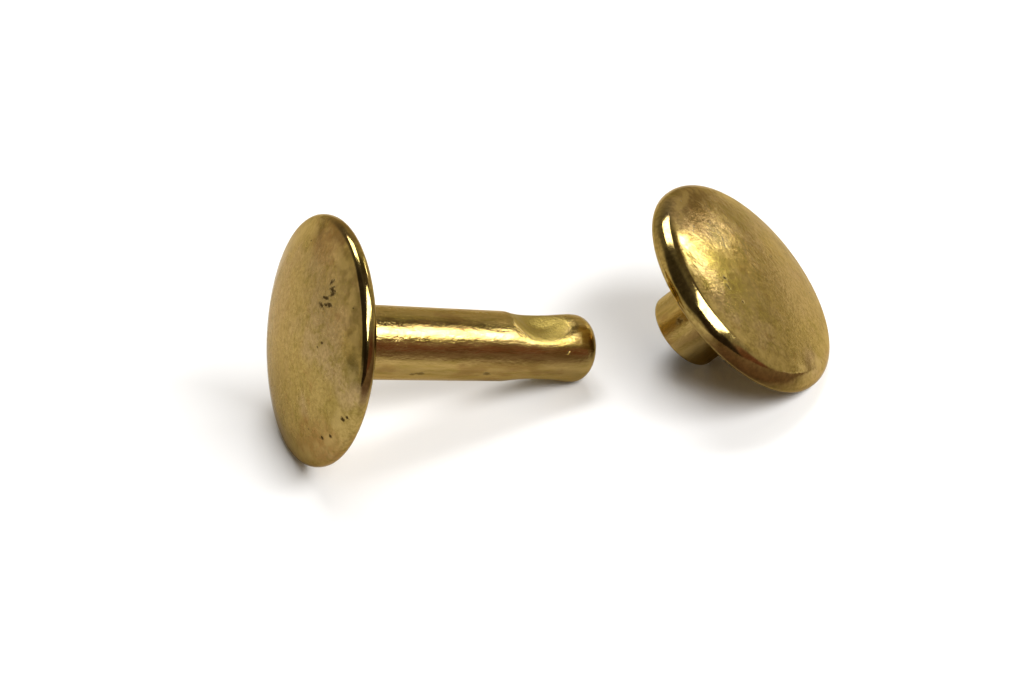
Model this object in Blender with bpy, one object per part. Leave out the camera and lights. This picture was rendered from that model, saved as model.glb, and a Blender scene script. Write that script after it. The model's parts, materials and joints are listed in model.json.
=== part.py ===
"""Double-cap rivet for leather, unset: a post half and a cap half lying side by side.

Each half is two pressed brass pieces: a domed cap, and a flanged stem whose flange the cap's
hem is rolled around.  The post half's stem is a long closed post with a pair of dents near its
tip.  The cap half's stem is a short open socket that the post is pushed into.

Metres, +Z up.  The halves lie on the plane z = 0, the post pointing along +X, and the origin is
below the middle of the pair.  A half is modelled upright: +Z is its axis, towards the crown of
its cap, and z = 0 is where its rim is widest.
"""

import math

import bmesh
import bpy
from mathutils import Vector

MM = 0.001

# Turned shapes
SEGMENTS = 40
CROWN_STEPS = 5
ROUND_STEPS = 4
EDGE_STEPS = 6
DENT_STEPS = 12

# Caps: a shallow dome, a shoulder, a short wall at the rim and a fold into the hem below it;
# the post half's cap turns down sharply at its shoulder, the cap half's more gently
CAP_RADIUS = 4.75 * MM
FOLD_RADIUS = 0.32 * MM
CROWN_HEIGHT = 1.24 * MM
CAP_SHEET = 0.22 * MM
HEM_WIDTH = 0.75 * MM
FOLD_CENTRE = CAP_RADIUS - FOLD_RADIUS
POST_CAP_SHOULDER = 0.28 * MM
POST_CAP_WALL = 0.06 * MM
SOCKET_CAP_SHOULDER = 0.66 * MM
SOCKET_CAP_WALL = 0.04 * MM

# Flange: held between the hem and the dome with a small gap all round
FLANGE_GAP = 0.04 * MM
FLANGE_SHEET = 0.30 * MM
FLANGE_RADIUS = 4.05 * MM
FLANGE_EDGE_ROUNDING = 0.12 * MM
FLANGE_BACK = CAP_SHEET - FOLD_RADIUS + FLANGE_GAP
FLANGE_FRONT = FLANGE_BACK + FLANGE_SHEET
ROOT_RADIUS = 0.30 * MM
MOUTH_RADIUS = 0.50 * MM

# Post: hollow, closed at its rounded tip, and a little thinner there
POST_LENGTH = 11.42 * MM
POST_BASE_RADIUS = 1.45 * MM
POST_TIP_RADIUS = 1.335 * MM
POST_TIP_ROUNDING = 0.64 * MM
POST_WALL = 0.36 * MM

# Dents: one above and one below, measured back from the tip
DENT_START = 0.80 * MM
DENT_DEEPEST = 2.50 * MM
DENT_END = 3.85 * MM
DENT_DEPTH = 0.50 * MM
DENT_HALF_ANGLE = math.radians(60)

# Socket: a tube open at both ends that the post's tip slides into
SOCKET_LENGTH = 3.27 * MM
SOCKET_RADIUS = 1.61 * MM
SOCKET_WALL = 0.20 * MM
SOCKET_LIP_ROUNDING = 0.17 * MM

# Layout: where the cap half lies, seen from the post half, and which way each dome faces
CAP_HALF_OFFSET = Vector((16.83, -1.72, 0)) * MM
POST_DOME_AZIMUTH = math.radians(180)
CAP_DOME_AZIMUTH = math.radians(-33.6)

MERGE = 0.0001 * MM

BRASS_CAP = (0.52, 0.42, 0.22, 1)
BRASS_STEM = (0.66, 0.52, 0.24, 1)


def clear_scene():
    for old in list(bpy.data.objects):
        bpy.data.objects.remove(old, do_unlink=True)


def brass(name, colour, roughness):
    material = bpy.data.materials.new(name)
    material.use_nodes = True
    shader = material.node_tree.nodes["Principled BSDF"]
    shader.inputs["Base Color"].default_value = colour
    shader.inputs["Metallic"].default_value = 1.0
    shader.inputs["Roughness"].default_value = roughness
    material.diffuse_color = colour
    return material


def arc(centre, radius, start, end, steps):
    """Points (r, z) on an arc, both ends included; angles in degrees from +r towards +z."""
    points = []
    for step in range(steps + 1):
        angle = math.radians(start + (end - start) * step / steps)
        points.append((centre[0] + radius * math.cos(angle), centre[1] + radius * math.sin(angle)))
    return points


def turned(name, profile, closed, material):
    """Spin a profile of (r, z) points about the Z axis into one solid."""
    bm = bmesh.new()
    verts = [bm.verts.new((max(r, 0.0), 0, z)) for r, z in profile]
    edges = [bm.edges.new(pair) for pair in zip(verts, verts[1:])]
    if closed:
        edges.append(bm.edges.new((verts[-1], verts[0])))
    bmesh.ops.spin(bm, geom=verts + edges, cent=(0, 0, 0), axis=(0, 0, 1),
                   angle=math.tau, steps=SEGMENTS, use_merge=True)
    bmesh.ops.remove_doubles(bm, verts=bm.verts, dist=MERGE)
    bmesh.ops.dissolve_degenerate(bm, edges=bm.edges, dist=MERGE)
    bmesh.ops.recalc_face_normals(bm, faces=bm.faces)
    mesh = bpy.data.meshes.new(name)
    bm.to_mesh(mesh)
    bm.free()
    mesh.shade_smooth()
    mesh.set_sharp_from_angle(angle=math.radians(40))
    mesh.materials.append(material)
    piece = bpy.data.objects.new(name, mesh)
    bpy.context.collection.objects.link(piece)
    return piece


def cap_profile(shoulder_radius, wall):
    """The dome, shoulder, wall and fold share tangents; the inside is the same, one sheet in."""
    shoulder_centre = (CAP_RADIUS - shoulder_radius, wall)
    rise = CROWN_HEIGHT - wall
    crown_radius = ((shoulder_centre[0] ** 2 + rise ** 2 - shoulder_radius ** 2)
                    / (2 * (rise - shoulder_radius)))
    crown_centre = (0.0, CROWN_HEIGHT - crown_radius)
    meeting = math.degrees(math.atan2(wall - crown_centre[1], shoulder_centre[0]))
    fold_centre = (FOLD_CENTRE, 0.0)
    hem_end = FOLD_CENTRE - HEM_WIDTH

    outside = arc(crown_centre, crown_radius, 90, meeting, CROWN_STEPS)
    outside += arc(shoulder_centre, shoulder_radius, meeting, 0, EDGE_STEPS)[1:]
    outside += arc(fold_centre, FOLD_RADIUS, 0, -90, EDGE_STEPS)
    hem = [(hem_end, -FOLD_RADIUS), (hem_end, CAP_SHEET - FOLD_RADIUS)]
    inside = arc(fold_centre, FOLD_RADIUS - CAP_SHEET, -90, 0, ROUND_STEPS)
    inside += arc(shoulder_centre, shoulder_radius - CAP_SHEET, 0, meeting, ROUND_STEPS)
    inside += arc(crown_centre, crown_radius - CAP_SHEET, meeting, 90, CROWN_STEPS)[1:]
    return outside + hem + inside


def flange_profile(stem_radius, bore_radius):
    """From the stem's outside, round the flange and into the mouth of the bore."""
    edge = FLANGE_RADIUS - FLANGE_EDGE_ROUNDING
    root = arc((stem_radius + ROOT_RADIUS, FLANGE_BACK - ROOT_RADIUS), ROOT_RADIUS,
               180, 90, ROUND_STEPS)
    back_edge = arc((edge, FLANGE_BACK + FLANGE_EDGE_ROUNDING), FLANGE_EDGE_ROUNDING, -90, 0, 2)
    front_edge = arc((edge, FLANGE_FRONT - FLANGE_EDGE_ROUNDING), FLANGE_EDGE_ROUNDING, 0, 90, 2)
    mouth = arc((bore_radius + MOUTH_RADIUS, FLANGE_FRONT - MOUTH_RADIUS), MOUTH_RADIUS,
                90, 180, ROUND_STEPS)
    return root + back_edge + front_edge + mouth


def stem_radius_at(from_tip):
    """The post's outer radius before it is dented."""
    share = from_tip / POST_LENGTH
    return POST_TIP_RADIUS + (POST_BASE_RADIUS - POST_TIP_RADIUS) * share


def post_profile():
    """Out from the tip, along the post, round the flange, and back down the inside."""
    stations = [DENT_START + (DENT_END - DENT_START) * step / DENT_STEPS
                for step in range(DENT_STEPS + 1)]
    wall_outside = [(stem_radius_at(s), s - POST_LENGTH) for s in stations]
    wall_inside = [(r - POST_WALL, z) for r, z in reversed(wall_outside)]
    tip = (stem_radius_at(0) - POST_TIP_ROUNDING, POST_TIP_ROUNDING - POST_LENGTH)

    outside = [(0.0, -POST_LENGTH)] + arc(tip, POST_TIP_ROUNDING, -90, 0, ROUND_STEPS)
    bore_end = arc(tip, POST_TIP_ROUNDING - POST_WALL, 0, -90, ROUND_STEPS)
    bore_end.append((0.0, POST_WALL - POST_LENGTH))
    flange = flange_profile(POST_BASE_RADIUS, POST_BASE_RADIUS - POST_WALL)
    return outside + wall_outside + flange + wall_inside + bore_end


def socket_profile():
    """Round the lip, up the outside, round the flange, and back down the bore."""
    bore_radius = SOCKET_RADIUS - SOCKET_WALL
    lip_centre = (SOCKET_RADIUS - SOCKET_LIP_ROUNDING, SOCKET_LIP_ROUNDING - SOCKET_LENGTH)
    lip = arc(lip_centre, SOCKET_LIP_ROUNDING, -90, 0, ROUND_STEPS)
    return [(bore_radius, -SOCKET_LENGTH)] + lip + flange_profile(SOCKET_RADIUS, bore_radius)


def smooth(share):
    share = min(max(share, 0.0), 1.0)
    return share * share * (3 - 2 * share)


def dent_depth(from_tip, angle):
    """Depth pressed in at a point of the post's wall; deepest on the +X and -X sides."""
    rise = smooth((from_tip - DENT_START) / (DENT_DEEPEST - DENT_START))
    fall = smooth((DENT_END - from_tip) / (DENT_END - DENT_DEEPEST))
    aside = abs(math.atan2(math.sin(angle), abs(math.cos(angle))))
    across = smooth(1 - aside / DENT_HALF_ANGLE)
    return DENT_DEPTH * min(rise, fall) * across


def press_dents(post):
    for vertex in post.data.vertices:
        radius = math.hypot(vertex.co.x, vertex.co.y)
        if radius < MERGE:
            continue
        angle = math.atan2(vertex.co.y, vertex.co.x)
        depth = dent_depth(vertex.co.z + POST_LENGTH, angle)
        vertex.co.x *= 1 - depth / radius
        vertex.co.y *= 1 - depth / radius


def resting_tilt(far_radius, far_rounding, length):
    """Angle of the axis below level when the cap's fold and the stem's end both touch z = 0."""
    drop = FOLD_CENTRE - (far_radius - far_rounding)
    reach = length - far_rounding
    lean = math.asin((FOLD_RADIUS - far_rounding) / math.hypot(drop, reach))
    return math.atan2(drop, reach) + lean


def half(name, pieces, tilt, dome_azimuth, offset):
    """Lay a half down: its pieces ride on an empty at the middle of its rim."""
    frame = bpy.data.objects.new(name, None)
    bpy.context.collection.objects.link(frame)
    for piece in pieces:
        piece.parent = frame
    frame.rotation_euler = (0, math.pi / 2 - tilt, dome_azimuth)
    frame.location = offset
    bpy.context.view_layer.update()
    frame.location.z = -lowest_and_highest(pieces)[0].z
    return frame


def lowest_and_highest(pieces):
    points = [piece.matrix_world @ vertex.co for piece in pieces for vertex in piece.data.vertices]
    low = Vector([min(point[axis] for point in points) for axis in range(3)])
    high = Vector([max(point[axis] for point in points) for axis in range(3)])
    return low, high


def centre_on_origin(frames, pieces):
    bpy.context.view_layer.update()
    low, high = lowest_and_highest(pieces)
    middle = (low + high) / 2
    for frame in frames:
        frame.location.x -= middle.x
        frame.location.y -= middle.y
    bpy.context.view_layer.update()


def build():
    clear_scene()
    cap_brass = brass("cap_brass", BRASS_CAP, 0.38)
    stem_brass = brass("stem_brass", BRASS_STEM, 0.30)

    post_cap = turned("post_cap", cap_profile(POST_CAP_SHOULDER, POST_CAP_WALL), False, cap_brass)
    post = turned("post", post_profile(), False, stem_brass)
    press_dents(post)
    socket_cap = turned("socket_cap", cap_profile(SOCKET_CAP_SHOULDER, SOCKET_CAP_WALL),
                        False, cap_brass)
    socket = turned("socket", socket_profile(), True, stem_brass)

    post_tilt = resting_tilt(POST_TIP_RADIUS, POST_TIP_ROUNDING, POST_LENGTH)
    socket_tilt = resting_tilt(SOCKET_RADIUS, SOCKET_LIP_ROUNDING, SOCKET_LENGTH)
    post_half = half("post_half", [post, post_cap], post_tilt, POST_DOME_AZIMUTH, Vector())
    cap_half = half("cap_half", [socket, socket_cap], socket_tilt, CAP_DOME_AZIMUTH,
                    CAP_HALF_OFFSET)
    centre_on_origin([post_half, cap_half], [post, post_cap, socket, socket_cap])


build()
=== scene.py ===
"""Looks of an unset double-cap rivet: two brass halves lying on a pale surface.

Each half is finished in its own frame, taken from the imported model: the origin is the middle
of the cap's rim, +Z is the half's axis towards the crown of its cap, and +X leans upwards.
Sizes are in metres.
"""

import json
import math

import bmesh
import bpy
from mathutils import Matrix, Vector


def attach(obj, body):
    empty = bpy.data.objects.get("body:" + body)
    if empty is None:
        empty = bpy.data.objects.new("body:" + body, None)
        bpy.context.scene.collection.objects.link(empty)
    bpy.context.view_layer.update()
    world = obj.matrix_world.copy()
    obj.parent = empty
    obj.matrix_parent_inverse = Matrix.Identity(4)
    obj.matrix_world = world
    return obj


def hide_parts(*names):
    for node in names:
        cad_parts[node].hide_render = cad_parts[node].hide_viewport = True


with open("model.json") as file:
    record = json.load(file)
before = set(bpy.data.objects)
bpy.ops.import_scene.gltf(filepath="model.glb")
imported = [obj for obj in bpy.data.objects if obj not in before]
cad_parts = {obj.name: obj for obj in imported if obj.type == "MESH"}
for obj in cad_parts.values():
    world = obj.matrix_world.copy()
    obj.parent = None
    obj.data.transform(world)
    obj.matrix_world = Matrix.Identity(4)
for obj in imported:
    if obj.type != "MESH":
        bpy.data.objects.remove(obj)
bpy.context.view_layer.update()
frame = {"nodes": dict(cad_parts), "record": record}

MM = 0.001

# Turned surfaces: how many steps go round each one and along each part of its profile
SEGMENTS = 192
SHARP_ANGLE = math.radians(50)
CROWN_STEPS = 34
EDGE_STEPS = 26
ROUND_STEPS = 12
WALL_STEPS = 40
DENT_STEPS = 90

# Cap
CAP_RADIUS = 4.75 * MM
FOLD_RADIUS = 0.32 * MM
CROWN_HEIGHT = 1.24 * MM
CAP_SHEET = 0.22 * MM
HEM_WIDTH = 0.75 * MM
HEM_ROUNDING = 0.08 * MM
FOLD_CENTRE = CAP_RADIUS - FOLD_RADIUS
HEM_FLATNESS = 0.002 * MM
POST_CAP_SHOULDER = 0.28 * MM
POST_CAP_WALL = 0.06 * MM
SOCKET_CAP_SHOULDER = 0.66 * MM
SOCKET_CAP_WALL = 0.04 * MM

# Flange
FLANGE_GAP = 0.04 * MM
FLANGE_SHEET = 0.30 * MM
FLANGE_RADIUS = 4.05 * MM
FLANGE_EDGE_ROUNDING = 0.12 * MM
FLANGE_BACK = CAP_SHEET - FOLD_RADIUS + FLANGE_GAP
FLANGE_FRONT = FLANGE_BACK + FLANGE_SHEET
ROOT_RADIUS = 0.30 * MM
MOUTH_RADIUS = 0.50 * MM

# Post
POST_LENGTH = 11.42 * MM
POST_BASE_RADIUS = 1.45 * MM
POST_TIP_RADIUS = 1.335 * MM
POST_TIP_ROUNDING = 0.64 * MM
POST_WALL = 0.36 * MM
DENT_START = 0.80 * MM
DENT_DEEPEST = 2.50 * MM
DENT_END = 3.85 * MM
DENT_DEPTH = 0.50 * MM
DENT_HALF_ANGLE = math.radians(60)

# Socket
SOCKET_LENGTH = 3.27 * MM
SOCKET_RADIUS = 1.61 * MM
SOCKET_WALL = 0.20 * MM
SOCKET_LIP_ROUNDING = 0.17 * MM

# Camera: where it looks, and from where; lens and sensor in camera millimetres
CAMERA_TARGET = Vector((-2.07, 0.03, 2.50)) * MM
CAMERA_AZIMUTH = math.radians(-21.71)
CAMERA_ELEVATION = math.radians(34.55)
CAMERA_DISTANCE = 91.50 * MM
CAMERA_ROLL = math.radians(1.383)
CAMERA_LENS = 83.01
CAMERA_SENSOR = 36

# Floor: what the camera sees of it, and what the brass mirrors of it. The mirrored floor carries
# a painted shadow, a dark fan that opens from a point; distances from it in metres, directions as
# cosines.
FLOOR_HALF_SIZE = 1.5
FLOOR_SEEN = (0.92, 0.92, 0.92)
FLOOR_MIRRORED = (0.55, 0.52, 0.48)
FLOOR_MIRRORED_SHADOW = (0.09, 0.045, 0.03)
SHADOW_FAN_START = Vector((12, 12, 0)) * MM
SHADOW_FAN_AZIMUTH = 36
SHADOW_FAN_DISTANCES = (16 * MM, 20 * MM)
SHADOW_FAN_COSINES = (0.45, 0.75)

# Room that the brass mirrors: horizon and zenith, then soft round areas laid over them, each with
# its azimuth and elevation, the radii where it is full and where it has run out, and its colour
BACKDROP_SEEN = (0.80, 0.80, 0.79)
HORIZON = (0.50, 0.45, 0.37)
ZENITH = (0.13, 0.115, 0.09)
SKY_COSINES = (-0.15, 0.85)
SKY_PATCHES = [
    (130, 0, 28, 60, (0.48, 0.42, 0.32)),
    (124, 24, 6, 20, (0.62, 0.56, 0.42)),
    (-98, 4, 16, 44, (0.66, 0.58, 0.45)),
    (-42, 52, 30, 46, (0.055, 0.045, 0.035)),
    (8, 12, 24, 38, (0.030, 0.020, 0.017)),
    (55, 0, 15, 29, (0.19, 0.080, 0.060)),
    (118, 52, 11, 22, (0.10, 0.08, 0.05)),
]

# Lights: name, azimuth, elevation, width and height in degrees, and radiance
LIGHT_DISTANCE = 0.4
LIGHTS = [
    ("window", 53, 48, 56, 23, 9.5),
    ("side_light", 129, 28, 10, 5, 11.0),
    ("spark", 140, 14, 4, 4, 6.0),
    ("back_light", -174, 59, 30, 24, 8.0),
]

# Metal colours
BRASS = (0.50, 0.37, 0.13)
BRASS_PINK = (0.52, 0.38, 0.18)
BRASS_OLIVE = (0.33, 0.25, 0.06)
BRASS_RED = (0.36, 0.20, 0.07)
BRASS_BROWN = (0.20, 0.12, 0.04)
# Painted shade for the band just inside the post cap's rim
BRASS_PAINTED_SHADE = (0.19, 0.14, 0.04)
BRASS_WORN = (0.66, 0.50, 0.20)
# Painted glint: the lighter colour of the frosted patches
BRASS_PAINTED_GLINT = (0.66, 0.56, 0.36)
STEM_BRASS = (0.58, 0.42, 0.15)
STEM_OLIVE = (0.44, 0.32, 0.09)
TARNISH = (0.075, 0.045, 0.015)
EDGE_TINT = (0.90, 0.78, 0.55, 1)

# Roughness of the parts that have one value all over; radii of the cap's rim, in millimetres
PIT_ROUGHNESS = (0.6, 0.6, 0.6)
FROSTED_ROUGHNESS = (0.11, 0.11, 0.11)
DENT_ROUGHNESS = (0.38, 0.38, 0.38)
RIM_START = 3.60
RIM_FULL = 4.10

# Stains, and a band of painted shade inside the post cap's rim: centre, radii, turn in degrees,
# strength and colour; a half's own frame, millimetres
POST_CAP_STAINS_AND_SHADE = [
    ((2.2, -3.65, 0), (0.16, 0.60, 9), -14, 0.85, BRASS_BROWN),
    ((1.2, -3.95, 0), (0.30, 0.22, 9), 0, 0.70, BRASS_OLIVE),
    # These three are painted shade: a dark olive band just inside the rim
    ((3.85, -1.90, 0), (1.30, 0.42, 9), 64, 0.85, BRASS_PAINTED_SHADE),
    ((2.95, -3.15, 0), (1.30, 0.42, 9), 44, 0.85, BRASS_PAINTED_SHADE),
    ((1.60, -3.98, 0), (0.90, 0.34, 9), 22, 0.80, BRASS_PAINTED_SHADE),
    ((4.5, 0.0, 0), (0.35, 0.9, 9), 0, 0.80, BRASS_BROWN),
    ((4.0, 0.7, 0), (0.6, 0.9, 9), 0, 0.60, BRASS_RED),
    ((-2.7, -3.0, 0), (0.8, 1.6, 9), 35, 0.80, BRASS_RED),
    ((-0.6, -3.8, 0), (0.7, 0.6, 9), 0, 0.55, BRASS_OLIVE),
    ((2.9, -1.5, 0), (0.8, 0.8, 9), 0, 0.45, BRASS_OLIVE),
    ((0.4, 1.0, 0), (2.2, 1.4, 9), 20, 0.50, BRASS_PINK),
]
POST_CAP_PITS = [
    ((3.20, -1.26, 0.8), (0.15, 0.06, 1), -25),
    ((3.03, -1.50, 0.8), (0.10, 0.13, 1), 0),
    ((2.92, -1.66, 0.8), (0.17, 0.05, 1), -45),
    ((2.61, -1.36, 0.9), (0.05, 0.14, 1), 20),
    ((2.28, -1.33, 0.9), (0.07, 0.18, 1), 0),
    ((2.42, -1.55, 0.9), (0.05, 0.12, 1), 30),
    ((2.54, -1.76, 0.8), (0.07, 0.15, 1), 15),
    ((1.20, -2.22, 0.9), (0.05, 0.06, 1), 0),
    ((0.93, -2.05, 1.0), (0.03, 0.07, 1), 0),
    ((-0.75, -4.30, 0.4), (0.07, 0.10, 1), 0),
    ((-0.56, -4.47, 0.3), (0.05, 0.08, 1), 0),
    ((-2.17, -3.35, 0.5), (0.06, 0.08, 1), 20),
    ((-1.79, -3.81, 0.5), (0.06, 0.08, 1), 0),
]
SOCKET_CAP_STAINS = [
    ((3.7, -1.4, 0), (0.7, 2.0, 9), 12, 0.95, BRASS_BROWN),
    ((2.2, 1.75, 0), (0.5, 0.6, 9), 0, 0.80, BRASS_OLIVE),
    ((1.3, 2.20, 0), (1.4, 0.6, 9), -35, 0.90, BRASS_OLIVE),
    ((0.4, 1.9, 0), (1.5, 0.9, 9), -30, 0.70, BRASS_OLIVE),
    ((-1.5, -0.7, 0), (1.6, 1.3, 9), 0, 0.70, BRASS_PINK),
    ((1.6, -2.6, 0), (1.6, 0.8, 9), 60, 0.60, BRASS_OLIVE),
]
SOCKET_CAP_PITS = [
    ((-0.28, -1.54, 1), (0.06, 0.06, 1), 0),
    ((1.57, 2.17, 1), (0.08, 0.05, 1), 20),
    ((1.30, 2.45, 1), (0.10, 0.04, 1), -20),
    ((0.50, 2.60, 1), (0.07, 0.05, 1), 0),
]
POST_PITS = [
    ((-0.56, -1.29, -3.75), (0.06, 0.20, 0.22), 0),
    ((-0.62, -1.27, -3.50), (0.05, 0.20, 0.12), 0),
    ((-0.51, -1.28, -6.65), (0.07, 0.20, 0.16), 0),
]
SOCKET_PITS = [
    ((0.9, 1.2, -2.2), (0.15, 0.15, 0.2), 0),
]

# Frosted areas of the domes, also lightened in colour as a painted glint: centre, radii and turn,
# as above
POST_CAP_FROST_AND_GLINT = ((2.8, -1.5, 0), (0.7, 0.6, 9), 0)
SOCKET_CAP_FROST_AND_GLINT = ((2.40, 0.10, 0), (0.70, 0.48, 9), -40)


def half_frame(cap, mount_name):
    """The frame of a half, from the flat back of its cap's hem."""
    mount = next(m for m in frame["record"]["mounts"] if m["name"] == mount_name)
    crown_way = -Vector(mount["axis"]).normalized()
    up = Vector((0, 0, 1))
    leaning_up = (up - crown_way * up.dot(crown_way)).normalized()
    turn = Matrix((leaning_up, crown_way.cross(leaning_up), crown_way))
    points = [turn @ vertex.co for vertex in cap.data.vertices]
    back = min(point.z for point in points)
    hem = [point for point in points if point.z < back + HEM_FLATNESS]
    middle = Vector(((min(p.x for p in hem) + max(p.x for p in hem)) / 2,
                     (min(p.y for p in hem) + max(p.y for p in hem)) / 2,
                     back + FOLD_RADIUS))
    return Matrix.Translation(turn.transposed() @ middle) @ turn.transposed().to_4x4()


def arc(centre, radius, start, end, steps):
    """Points (r, z) on an arc, both ends included; angles in degrees from +r towards +z."""
    points = []
    for step in range(steps + 1):
        angle = math.radians(start + (end - start) * step / steps)
        points.append((centre[0] + radius * math.cos(angle), centre[1] + radius * math.sin(angle)))
    return points


def line(start, end, steps):
    """Points (r, z) between two others, without the ends."""
    return [(start[0] + (end[0] - start[0]) * k / steps, start[1] + (end[1] - start[1]) * k / steps)
            for k in range(1, steps)]


def turned(name, profile, closed, shape, material, placing):
    """Spin a profile of (r, z) points about Z; shape(point) moves each point of the surface."""
    bm = bmesh.new()
    rings = []
    for r, z in profile:
        if r < 1e-9:
            rings.append([bm.verts.new(shape(Vector((0, 0, z))))])
            continue
        ring = []
        for step in range(SEGMENTS):
            angle = math.tau * step / SEGMENTS
            ring.append(bm.verts.new(shape(Vector((r * math.cos(angle), r * math.sin(angle), z)))))
        rings.append(ring)
    pairs = list(zip(rings, rings[1:]))
    if closed:
        pairs.append((rings[-1], rings[0]))
    for ring, following in pairs:
        for step in range(SEGMENTS):
            after = (step + 1) % SEGMENTS
            corners = [ring[step % len(ring)], ring[after % len(ring)],
                       following[after % len(following)], following[step % len(following)]]
            bm.faces.new(list(dict.fromkeys(corners)))
    bmesh.ops.recalc_face_normals(bm, faces=bm.faces)
    mesh = bpy.data.meshes.new(name)
    bm.to_mesh(mesh)
    bm.free()
    own_place = mesh.attributes.new("own_place", "FLOAT_VECTOR", "POINT")
    for vertex, place in zip(mesh.vertices, own_place.data):
        place.vector = vertex.co
    mesh.transform(placing)
    mesh.shade_smooth()
    mesh.set_sharp_from_angle(angle=SHARP_ANGLE)
    mesh.materials.append(material)
    piece = bpy.data.objects.new(name, mesh)
    bpy.context.collection.objects.link(piece)
    return piece


def cap_profile(shoulder_radius, wall):
    """Crown, shoulder, fold and hem of a cap, and back along the inside of its sheet."""
    shoulder_centre = (CAP_RADIUS - shoulder_radius, wall)
    rise = CROWN_HEIGHT - wall
    crown_radius = ((shoulder_centre[0] ** 2 + rise ** 2 - shoulder_radius ** 2)
                    / (2 * (rise - shoulder_radius)))
    crown_centre = (0.0, CROWN_HEIGHT - crown_radius)
    meeting = math.degrees(math.atan2(wall - crown_centre[1], shoulder_centre[0]))
    fold_centre = (FOLD_CENTRE, 0.0)
    hem_end = FOLD_CENTRE - HEM_WIDTH
    hem_round = (hem_end + HEM_ROUNDING, HEM_ROUNDING - FOLD_RADIUS)

    outside = arc(crown_centre, crown_radius, 90, meeting, CROWN_STEPS)
    outside += arc(shoulder_centre, shoulder_radius, meeting, 0, EDGE_STEPS)[1:]
    outside += arc(fold_centre, FOLD_RADIUS, 0, -90, ROUND_STEPS)
    hem = line(outside[-1], (hem_round[0], -FOLD_RADIUS), 4)
    hem += arc(hem_round, HEM_ROUNDING, -90, -180, 5)
    hem += [(hem_end, CAP_SHEET - FOLD_RADIUS)]
    inside = arc(fold_centre, FOLD_RADIUS - CAP_SHEET, -90, 0, ROUND_STEPS)
    inside += arc(shoulder_centre, shoulder_radius - CAP_SHEET, 0, meeting, ROUND_STEPS)
    inside += arc(crown_centre, crown_radius - CAP_SHEET, meeting, 90, ROUND_STEPS)[1:]
    return outside + hem + inside


def flange_profile(stem_radius, bore_radius):
    """Round flange that the cap's hem is rolled over, from the stem's outside to its bore."""
    edge = FLANGE_RADIUS - FLANGE_EDGE_ROUNDING
    root = arc((stem_radius + ROOT_RADIUS, FLANGE_BACK - ROOT_RADIUS), ROOT_RADIUS,
               180, 90, ROUND_STEPS)
    back_edge = arc((edge, FLANGE_BACK + FLANGE_EDGE_ROUNDING), FLANGE_EDGE_ROUNDING, -90, 0, 6)
    front_edge = arc((edge, FLANGE_FRONT - FLANGE_EDGE_ROUNDING), FLANGE_EDGE_ROUNDING, 0, 90, 6)
    mouth = arc((bore_radius + MOUTH_RADIUS, FLANGE_FRONT - MOUTH_RADIUS), MOUTH_RADIUS,
                90, 180, ROUND_STEPS)
    return (root + line(root[-1], back_edge[0], 8) + back_edge + front_edge
            + line(front_edge[-1], mouth[0], 8) + mouth)


def stem_radius_at(from_tip):
    """Outside radius of the tapered post before it is dented."""
    share = from_tip / POST_LENGTH
    return POST_TIP_RADIUS + (POST_BASE_RADIUS - POST_TIP_RADIUS) * share


def post_profile():
    dented = [DENT_START + (DENT_END - DENT_START) * step / DENT_STEPS
              for step in range(DENT_STEPS + 1)]
    plain_end = POST_LENGTH + FLANGE_BACK - ROOT_RADIUS
    plain = [DENT_END + (plain_end - DENT_END) * step / WALL_STEPS
             for step in range(1, WALL_STEPS)]
    wall_outside = [(stem_radius_at(s), s - POST_LENGTH) for s in dented + plain]
    wall_inside = [(r - POST_WALL, z) for r, z in reversed(wall_outside)]
    tip = (stem_radius_at(0) - POST_TIP_ROUNDING, POST_TIP_ROUNDING - POST_LENGTH)
    end = [(0.0, -POST_LENGTH)] + line((0.0, -POST_LENGTH), (tip[0], -POST_LENGTH), 8)
    end += arc(tip, POST_TIP_ROUNDING, -90, 0, ROUND_STEPS)
    bore_end = arc(tip, POST_TIP_ROUNDING - POST_WALL, 0, -90, ROUND_STEPS)
    bore_end.append((0.0, POST_WALL - POST_LENGTH))
    flange = flange_profile(POST_BASE_RADIUS, POST_BASE_RADIUS - POST_WALL)
    return end + wall_outside + flange + wall_inside + bore_end


def socket_profile():
    bore_radius = SOCKET_RADIUS - SOCKET_WALL
    lip_centre = (SOCKET_RADIUS - SOCKET_LIP_ROUNDING, SOCKET_LIP_ROUNDING - SOCKET_LENGTH)
    lip = [(bore_radius, -SOCKET_LENGTH)]
    lip += arc(lip_centre, SOCKET_LIP_ROUNDING, -90, 0, ROUND_STEPS)
    flange = flange_profile(SOCKET_RADIUS, bore_radius)
    return lip + line(lip[-1], flange[0], 16) + flange + line(flange[-1], lip[0], 16)


def smooth(share):
    share = min(max(share, 0.0), 1.0)
    return share * share * (3 - 2 * share)


def dented(point):
    """Press the pair of dents into the post, above and below its tip."""
    radius = math.hypot(point.x, point.y)
    if radius < 1e-9:
        return point
    from_tip = point.z + POST_LENGTH
    rise = smooth((from_tip - DENT_START) / (DENT_DEEPEST - DENT_START))
    fall = smooth((DENT_END - from_tip) / (DENT_END - DENT_DEEPEST))
    aside = abs(math.atan2(abs(point.y), abs(point.x)))
    across = smooth(1 - aside / DENT_HALF_ANGLE)
    scale = 1 - DENT_DEPTH * min(rise, fall) * across / radius
    return Vector((point.x * scale, point.y * scale, point.z))


def plain(point):
    """Leave the turned surface as it is."""
    return point


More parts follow.
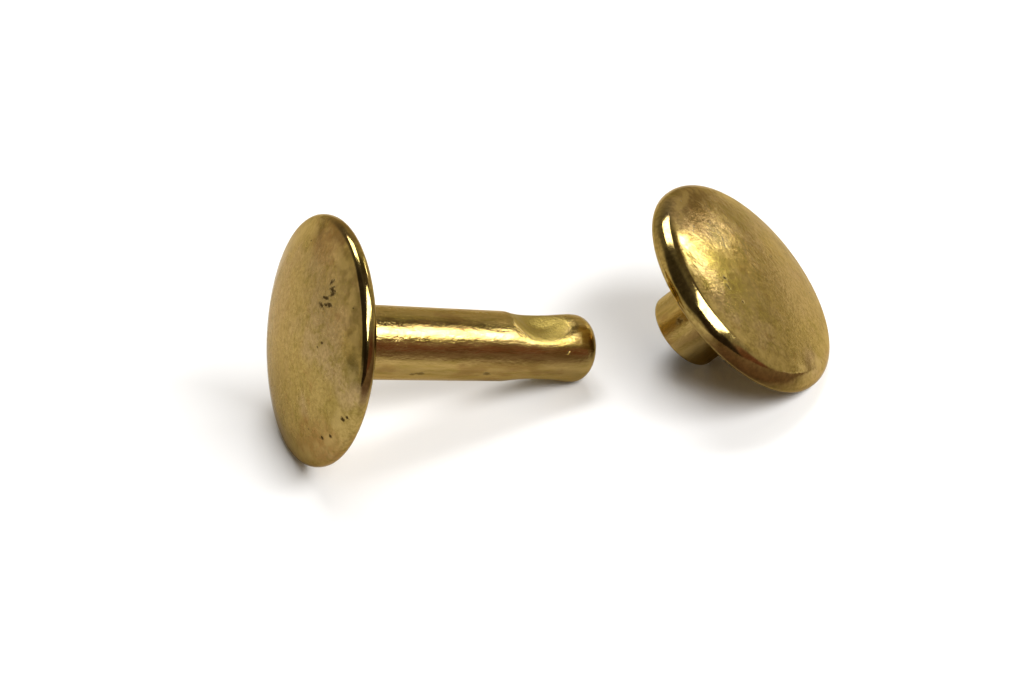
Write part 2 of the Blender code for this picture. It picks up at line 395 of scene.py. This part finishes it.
class Shade:
    """Small helpers for building one material's nodes; lengths are in millimetres."""

    def __init__(self, name):
        self.material = bpy.data.materials.new(name)
        self.material.use_nodes = True
        self.nodes = self.material.node_tree.nodes
        self.links = self.material.node_tree.links
        self.shader = self.nodes["Principled BSDF"]
        self.shader.inputs["Metallic"].default_value = 1.0
        self.shader.inputs["Specular Tint"].default_value = EDGE_TINT
        own_place = self.nodes.new("ShaderNodeAttribute")
        own_place.attribute_name = "own_place"
        self.place = self.vector("SCALE", own_place.outputs["Vector"], 1000)

    def feed(self, socket, value):
        if isinstance(value, bpy.types.NodeSocket):
            self.links.new(value, socket)
        elif isinstance(value, tuple) and socket.type == "RGBA":
            socket.default_value = (*value, 1)
        else:
            socket.default_value = value

    def maths(self, operation, *values):
        node = self.nodes.new("ShaderNodeMath")
        node.operation = operation
        for socket, value in zip(node.inputs, values):
            self.feed(socket, value)
        return node.outputs[0]

    def vector(self, operation, first, second=None):
        node = self.nodes.new("ShaderNodeVectorMath")
        node.operation = operation
        self.feed(node.inputs[0], first)
        if operation == "SCALE":
            self.feed(node.inputs["Scale"], second)
        elif second is not None:
            self.feed(node.inputs[1], second)
        return node.outputs["Value" if operation == "LENGTH" else "Vector"]

    def noise(self, scale, detail=3.0, roughness=0.5, stretch=(1, 1, 1), shift=0.0, warp=0.0):
        node = self.nodes.new("ShaderNodeTexNoise")
        moved = self.vector("ADD", self.vector("MULTIPLY", self.place, stretch), (shift,) * 3)
        self.feed(node.inputs["Vector"], moved)
        self.feed(node.inputs["Scale"], scale)
        self.feed(node.inputs["Detail"], detail)
        self.feed(node.inputs["Roughness"], roughness)
        self.feed(node.inputs["Distortion"], warp)
        return node.outputs["Fac"]

    def step(self, value, start, end, low=0.0, high=1.0):
        """Soft step from low at start to high at end."""
        node = self.nodes.new("ShaderNodeMapRange")
        node.interpolation_type = "SMOOTHSTEP"
        for name, given in (("Value", value), ("From Min", start), ("From Max", end),
                            ("To Min", low), ("To Max", high)):
            self.feed(node.inputs[name], given)
        return node.outputs["Result"]

    def mix(self, factor, first, second, blend="MIX"):
        node = self.nodes.new("ShaderNodeMix")
        node.data_type = "RGBA"
        node.blend_type = blend
        self.feed(node.inputs["Factor"], factor)
        self.feed(node.inputs[6], first)
        self.feed(node.inputs[7], second)
        return node.outputs[2]

    def spots(self, scale, size, share):
        """Small ragged spots scattered at random; share of the cells that have one."""
        ragged = self.nodes.new("ShaderNodeTexNoise")
        self.feed(ragged.inputs["Vector"], self.place)
        self.feed(ragged.inputs["Scale"], scale * 6)
        moved = self.vector("ADD", self.place,
                            self.vector("SCALE", ragged.outputs["Color"], 0.35 / scale))
        cells = self.nodes.new("ShaderNodeTexVoronoi")
        self.feed(cells.inputs["Vector"], moved)
        self.feed(cells.inputs["Scale"], scale)
        near = self.step(cells.outputs["Distance"], size, size * 0.45)
        which = self.nodes.new("ShaderNodeSeparateColor")
        self.feed(which.inputs[0], cells.outputs["Color"])
        return self.maths("MULTIPLY", near, self.maths("LESS_THAN", which.outputs[0], share))

    def patch(self, centre, radii, turn, ragged, softness=0.5):
        """A patch round a point of the surface: an ellipse with a ragged, soft edge; it marks
        stains, pits, frost, painted shade and painted glint.
        """
        mapping = self.nodes.new("ShaderNodeMapping")
        mapping.vector_type = "TEXTURE"
        self.feed(mapping.inputs["Vector"], self.place)
        mapping.inputs["Location"].default_value = centre
        mapping.inputs["Rotation"].default_value = (0, 0, math.radians(turn))
        mapping.inputs["Scale"].default_value = radii
        away = self.maths("ADD", self.vector("LENGTH", mapping.outputs["Vector"]), ragged)
        return self.step(away, 1 + softness, 1 - softness)

    def most(self, masks):
        strongest = masks[0]
        for mask in masks[1:]:
            strongest = self.maths("MAXIMUM", strongest, mask)
        return strongest

    def finish(self, colour, roughness, heights):
        """heights: (value, depth in millimetres) pairs, laid one on another."""
        self.feed(self.shader.inputs["Base Color"], colour)
        self.feed(self.shader.inputs["Roughness"], roughness)
        normal = None
        for height, depth in heights:
            bump = self.nodes.new("ShaderNodeBump")
            bump.inputs["Strength"].default_value = 1.0
            bump.inputs["Distance"].default_value = depth * MM
            self.feed(bump.inputs["Height"], height)
            if normal is not None:
                self.feed(bump.inputs["Normal"], normal)
            normal = bump.outputs["Normal"]
        self.feed(self.shader.inputs["Normal"], normal)
        return self.material


def ragged_edge(shade, scale, amount):
    """Noise round zero that frays the edge of a patch."""
    noise_value = shade.noise(scale, 5, 0.65, shift=3.7)
    return shade.maths("MULTIPLY", shade.maths("SUBTRACT", noise_value, 0.5), amount)


def cap_brass(name, stains_and_shade, pits, frost_and_glint, worn, grain):
    """Antique brass sheet: satin on the dome, polished round the rim, with old tarnish, stains that
    include painted shade, and a painted glint on the frosted patch.

    worn is how far handling has polished it, and grain how strong its fine relief is.
    """
    shade = Shade(name)
    flat = shade.vector("MULTIPLY", shade.place, (1, 1, 0))
    radius = shade.vector("LENGTH", flat)
    rim = shade.step(radius, RIM_START, RIM_FULL)
    ragged = ragged_edge(shade, 2.2, 2.4)
    fine = shade.noise(7.0, 4, 0.6)

    colour = shade.mix(shade.step(shade.noise(0.42, 2), 0.46, 0.62), BRASS, BRASS_PINK)
    olive = shade.step(shade.noise(1.4, 8, 0.80, warp=0.6, shift=1.3), 0.47, 0.64, 0.0, 0.75)
    colour = shade.mix(olive, colour, BRASS_OLIVE)
    red = shade.step(shade.noise(1.5, 6, 0.7, shift=8.1), 0.55, 0.68, 0.0, 0.45)
    colour = shade.mix(red, colour, BRASS_RED)
    # Stains, and the band of painted shade on the post cap, laid on one by one
    for centre, radii, turn, strength, tint in stains_and_shade:
        tinted_patch = shade.patch(centre, radii, turn, ragged, 0.7)
        speckled = shade.maths("MULTIPLY", tinted_patch, shade.step(fine, 0.30, 0.62, 0.35, strength))
        colour = shade.mix(speckled, colour, tint)
    colour = shade.mix(1.0, colour, shade.mix(shade.step(fine, 0.30, 0.70), (0.80, 0.78, 0.72),
                                              (1.16, 1.17, 1.16)), "MULTIPLY")
    polish = shade.maths("MULTIPLY", shade.step(radius, 3.8, 4.1), shade.step(radius, 4.6, 4.3))
    polish = shade.maths("MULTIPLY", polish, shade.step(shade.noise(1.6, 4, shift=5.0), 0.42, 0.6))
    colour = shade.mix(shade.maths("MULTIPLY", polish, worn), colour, BRASS_WORN)

    frost_and_painted_glint = shade.patch(*frost_and_glint, ragged, 0.8)
    # The frosted patch is lightened in colour as a painted glint, besides its own roughness and
    # relief
    colour = shade.mix(shade.maths("MULTIPLY", frost_and_painted_glint, 0.12 * grain), colour, BRASS_PAINTED_GLINT)

    sharp = ragged_edge(shade, 8.0, 3.8)
    pitted = [shade.patch(centre, radii, turn, sharp, 0.45) for centre, radii, turn in pits]
    pitted.append(shade.spots(1.25, 0.10, 0.12))
    pitted.append(shade.spots(2.6, 0.12, 0.06))
    dark = shade.most(pitted)
    colour = shade.mix(shade.maths("MULTIPLY", dark, 0.92), colour, TARNISH)

    smoothest = 0.33 - 0.28 * worn
    satin = shade.step(shade.noise(1.7, 5, 0.6, shift=2.2), 0.35, 0.65, smoothest, smoothest + 0.08)
    polished = shade.step(shade.noise(2.5, 4, shift=6.0), 0.35, 0.7, 0.09, 0.15)
    roughness = shade.mix(rim, satin, polished)
    roughness = shade.mix(frost_and_painted_glint, roughness, FROSTED_ROUGHNESS)
    roughness = shade.mix(dark, roughness, PIT_ROUGHNESS)
    calm = shade.maths("SUBTRACT", 1.0, shade.maths("MULTIPLY", rim, 0.80))
    crinkle = shade.maths("MULTIPLY", shade.noise(3.4, 3, 0.55, shift=4.4), calm)
    grains = shade.maths("MULTIPLY", shade.noise(8.0, 4, 0.6, shift=9.0), calm)
    glints = shade.maths("SUBTRACT", shade.noise(5.0, 3, 0.6, shift=2.9), 0.5)
    sparkle = shade.maths("MULTIPLY", glints, frost_and_painted_glint)
    return shade.finish(colour, roughness, [(shade.noise(0.9, 2, shift=7.7), 0.018),
                                            (crinkle, 0.009 * grain), (grains, 0.006 * grain),
                                            (sparkle, 0.036 * grain), (dark, -0.015)])


def stem_brass(name, pits):
    """Drawn brass: bright, streaked along its length, and sandy inside the dents."""
    shade = Shade(name)
    along = (1, 1, 0.16)
    streaks = shade.noise(4.5, 5, 0.62, along, shift=1.0)
    fine = shade.noise(9.0, 4, 0.6, (1, 1, 0.3))
    mirrored = shade.vector("ABSOLUTE", shade.place)
    towards = shade.vector("SUBTRACT", mirrored, (0.9, 0, (POST_LENGTH - DENT_DEEPEST) / MM))
    dent = shade.vector("LENGTH", shade.vector("MULTIPLY", towards, (1.1, 1.0, 0.74)))
    inside_dent = shade.step(dent, 1.25, 0.80)

    colour = shade.mix(shade.step(streaks, 0.42, 0.66), STEM_BRASS, STEM_OLIVE)
    red = shade.step(shade.noise(1.3, 5, 0.62, (1, 1, 0.4), shift=5.5), 0.52, 0.68, 0.0, 0.5)
    colour = shade.mix(red, colour, BRASS_RED)
    # Inside the dents the brass is darkened towards olive: painted shade in the hollows
    colour = shade.mix(shade.maths("MULTIPLY", inside_dent, 0.85), colour, BRASS_OLIVE)
    colour = shade.mix(1.0, colour, shade.mix(fine, (0.84, 0.84, 0.82), (1.12, 1.12, 1.10)),
                       "MULTIPLY")
    sharp = ragged_edge(shade, 7.0, 3.0)
    pitted = [shade.patch(centre, radii, turn, sharp, 0.35) for centre, radii, turn in pits]
    pitted.append(shade.spots(1.6, 0.11, 0.10))
    dark = shade.most(pitted)
    colour = shade.mix(shade.maths("MULTIPLY", dark, 0.60), colour, TARNISH)

    roughness = shade.step(shade.noise(2.2, 4, 0.6, (1, 1, 0.4), shift=2.0), 0.35, 0.68, 0.12, 0.23)
    roughness = shade.mix(inside_dent, roughness, DENT_ROUGHNESS)
    crinkle = shade.noise(2.6, 4, 0.6, (1, 1, 0.55), shift=4.0)
    sand = shade.maths("MULTIPLY", shade.noise(9.0, 3, 0.6, shift=9.0), inside_dent)
    grains = shade.noise(9.0, 4, 0.65, (1, 1, 0.6), shift=6.4)
    return shade.finish(colour, roughness, [(crinkle, 0.014), (streaks, 0.008), (grains, 0.012),
                                            (sand, 0.050), (dark, -0.012)])


def finish_piece(piece, body, node):
    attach(piece, body)
    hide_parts(node)


def make_halves():
    post_cap_brass = cap_brass("cap_brass_satin", POST_CAP_STAINS_AND_SHADE, POST_CAP_PITS,
                               POST_CAP_FROST_AND_GLINT, 0.4, 0.7)
    socket_cap_brass = cap_brass("cap_brass_bright", SOCKET_CAP_STAINS, SOCKET_CAP_PITS,
                                 SOCKET_CAP_FROST_AND_GLINT, 0.6, 1.2)
    post_brass = stem_brass("stem_brass_drawn", POST_PITS)
    socket_brass = stem_brass("stem_brass_dull", SOCKET_PITS)
    post_frame = half_frame(frame["nodes"]["post_cap"], "post_cap_back")
    socket_frame = half_frame(frame["nodes"]["socket_cap"], "socket_cap_back")
    post_cap_shape = cap_profile(POST_CAP_SHOULDER, POST_CAP_WALL)
    socket_cap_shape = cap_profile(SOCKET_CAP_SHOULDER, SOCKET_CAP_WALL)
    post_cap = turned("post_cap_dome", post_cap_shape, False, plain, post_cap_brass, post_frame)
    post = turned("post_stem", post_profile(), False, dented, post_brass, post_frame)
    socket_cap = turned("socket_cap_dome", socket_cap_shape, False, plain, socket_cap_brass,
                        socket_frame)
    socket = turned("socket_stem", socket_profile(), True, plain, socket_brass, socket_frame)
    finish_piece(post_cap, "post_half", "post_cap")
    finish_piece(post, "post_half", "post")
    finish_piece(socket_cap, "cap_half", "socket_cap")
    finish_piece(socket, "cap_half", "socket")


def direction(azimuth, elevation):
    """Unit vector from the object; azimuth 0 is towards the camera, 90 to its right."""
    a, e = math.radians(azimuth) + CAMERA_AZIMUTH, math.radians(elevation)
    return Vector((math.sin(a) * math.cos(e), -math.cos(a) * math.cos(e), math.sin(e)))


def make_camera():
    data = bpy.data.cameras.new("camera")
    data.lens = CAMERA_LENS
    data.sensor_width = CAMERA_SENSOR
    data.clip_start = 1 * MM
    data.clip_end = 10
    camera = bpy.data.objects.new("camera", data)
    bpy.context.collection.objects.link(camera)
    away = direction(0, math.degrees(CAMERA_ELEVATION))
    camera.location = CAMERA_TARGET + away * CAMERA_DISTANCE
    looking = (-away).to_track_quat("-Z", "Y")
    camera.rotation_mode = "QUATERNION"
    camera.rotation_quaternion = looking @ Matrix.Rotation(-CAMERA_ROLL, 4, "Z").to_quaternion()
    bpy.context.scene.camera = camera


def softbox(name, azimuth, elevation, wide, high, radiance):
    """A soft light whose face is wide x high degrees as the object sees it."""
    data = bpy.data.lights.new(name, "AREA")
    data.shape = "RECTANGLE"
    data.size = 2 * LIGHT_DISTANCE * math.tan(math.radians(wide / 2))
    data.size_y = 2 * LIGHT_DISTANCE * math.tan(math.radians(high / 2))
    data.energy = radiance * math.pi * data.size * data.size_y
    light = bpy.data.objects.new(name, data)
    away = direction(azimuth, elevation)
    light.location = away * LIGHT_DISTANCE
    light.rotation_mode = "QUATERNION"
    light.rotation_quaternion = away.to_track_quat("Z", "Y")
    light.visible_camera = False
    bpy.context.collection.objects.link(light)


class Tree:
    """Small helpers for the nodes of the world and of the floor."""

    def __init__(self, tree):
        self.nodes = tree.nodes
        self.links = tree.links

    def vector(self, operation, first, second=None):
        node = self.nodes.new("ShaderNodeVectorMath")
        node.operation = operation
        self.links.new(first, node.inputs[0])
        if second is not None:
            node.inputs[1].default_value = second
        return node.outputs["Value" if operation in ("DOT_PRODUCT", "LENGTH") else "Vector"]

    def share(self, value, start, end):
        """Soft step from 0 at start to 1 at end."""
        edge = self.nodes.new("ShaderNodeMapRange")
        edge.interpolation_type = "SMOOTHSTEP"
        edge.inputs["From Min"].default_value = start
        edge.inputs["From Max"].default_value = end
        self.links.new(value, edge.inputs["Value"])
        return edge.outputs["Result"]

    def blend(self, share, first, tint):
        """The first colour, turning into a tint as the share goes to 1."""
        mix = self.nodes.new("ShaderNodeMix")
        mix.data_type = "RGBA"
        mix.inputs["B"].default_value = (*tint, 1)
        self.links.new(share, mix.inputs["Factor"])
        self.links.new(first, mix.inputs["A"])
        return mix.outputs["Result"]

    def colour(self, tint):
        node = self.nodes.new("ShaderNodeRGB")
        node.outputs[0].default_value = (*tint, 1)
        return node.outputs[0]

    def seen_by_camera(self):
        return self.nodes.new("ShaderNodeLightPath").outputs["Is Camera Ray"]


def make_surroundings():
    """A dim room for the brass to mirror, and a plain pale backdrop for the camera."""
    world = bpy.data.worlds.new("studio")
    world.use_nodes = True
    tree = Tree(world.node_tree)
    looking = tree.nodes.new("ShaderNodeTexCoord").outputs["Generated"]
    height = tree.vector("DOT_PRODUCT", looking, (0, 0, 1))
    colour = tree.blend(tree.share(height, *SKY_COSINES), tree.colour(HORIZON), ZENITH)
    for azimuth, elevation, full, gone, tint in SKY_PATCHES:
        nearness = tree.vector("DOT_PRODUCT", looking, direction(azimuth, elevation))
        share = tree.share(nearness, math.cos(math.radians(gone)), math.cos(math.radians(full)))
        colour = tree.blend(share, colour, tint)
    seen = tree.blend(tree.seen_by_camera(), colour, BACKDROP_SEEN)
    tree.links.new(seen, tree.nodes["Background"].inputs["Color"])
    bpy.context.scene.world = world


def make_floor():
    """Pale paper; what the brass mirrors of it is duller, and darkened at the front by a painted
    shadow.
    """
    mesh = bpy.data.meshes.new("floor")
    bm = bmesh.new()
    bmesh.ops.create_grid(bm, x_segments=1, y_segments=1, size=FLOOR_HALF_SIZE)
    bm.to_mesh(mesh)
    bm.free()
    floor = bpy.data.objects.new("floor", mesh)
    bpy.context.collection.objects.link(floor)
    paper = bpy.data.materials.new("floor_paper")
    paper.use_nodes = True
    tree = Tree(paper.node_tree)
    shader = tree.nodes["Principled BSDF"]
    shader.inputs["Roughness"].default_value = 0.9
    place = tree.nodes.new("ShaderNodeTexCoord").outputs["Object"]
    from_start = tree.vector("SUBTRACT", place, SHADOW_FAN_START)
    away = tree.share(tree.vector("LENGTH", from_start), *SHADOW_FAN_DISTANCES)
    heading = tree.vector("NORMALIZE", from_start)
    ahead = tree.vector("DOT_PRODUCT", heading, direction(SHADOW_FAN_AZIMUTH, 0))
    dark = tree.nodes.new("ShaderNodeMath")
    dark.operation = "MULTIPLY"
    tree.links.new(away, dark.inputs[0])
    tree.links.new(tree.share(ahead, *SHADOW_FAN_COSINES), dark.inputs[1])
    # The fan of painted shadow, seen only in what the brass mirrors
    mirrored = tree.blend(dark.outputs[0], tree.colour(FLOOR_MIRRORED), FLOOR_MIRRORED_SHADOW)
    seen = tree.blend(tree.seen_by_camera(), mirrored, FLOOR_SEEN)
    tree.links.new(seen, shader.inputs["Base Color"])
    mesh.materials.append(paper)


def make_studio():
    make_floor()
    make_surroundings()
    for light in LIGHTS:
        softbox(*light)
    bpy.context.scene.view_settings.view_transform = "Standard"


make_halves()
make_camera()
make_studio()
